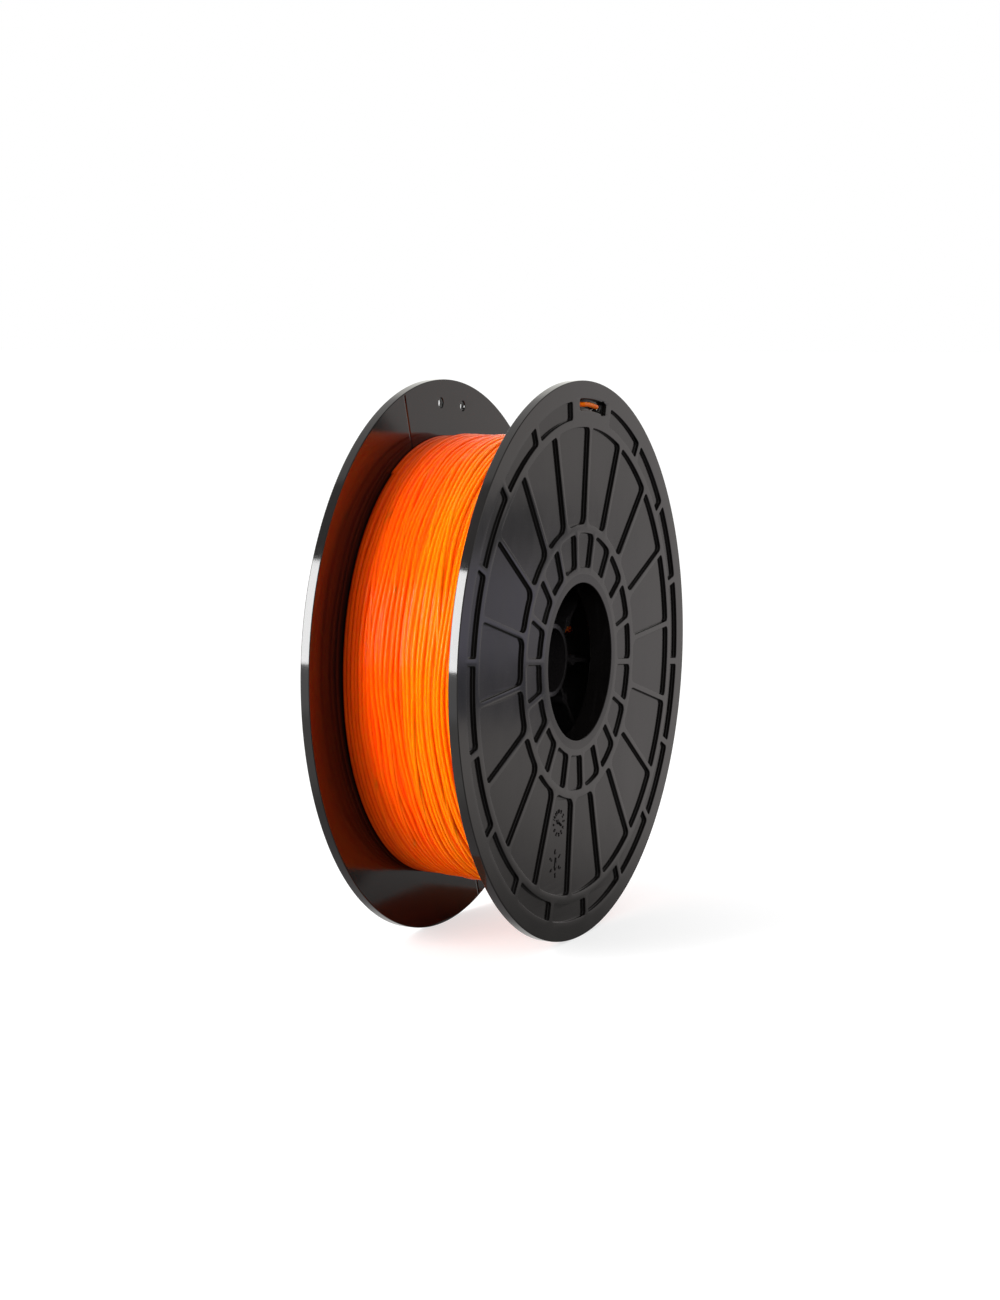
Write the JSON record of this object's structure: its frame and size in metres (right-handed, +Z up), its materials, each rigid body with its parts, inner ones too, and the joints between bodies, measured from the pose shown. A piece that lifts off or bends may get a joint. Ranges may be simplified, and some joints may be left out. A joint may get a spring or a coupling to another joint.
{
  "type": "filament spool",
  "caption": "Round plastic spool with ribbed flanges and an open webbed hub, wound with orange printing filament whose end is tucked into a groove between two holes in the front flange.",
  "frame": {"origin": "on the spool's axis, half-way between the outer faces of the two flanges", "axes": "+Y along the spool's axis, from the front flange (where the filament's outer end is tucked) to the rear flange; +Z up, towards the tucked end; +X to the right as seen from in front of the front flange"},
  "size_m": [0.2, 0.0582, 0.2],
  "materials": {
    "black_plastic": "injection-moulded black plastic with a soft gloss",
    "orange_filament": "smooth, slightly translucent extruded plastic strand"
  },
  "bodies": {
    "root": {"front_flange": "black_plastic", "rear_flange": "black_plastic", "hub_drum": "black_plastic", "hub_spider": "black_plastic", "filament_winding": "orange_filament", "filament_tail": "orange_filament", "filament_inner_end": "orange_filament"}
  },
  "joints": []
}
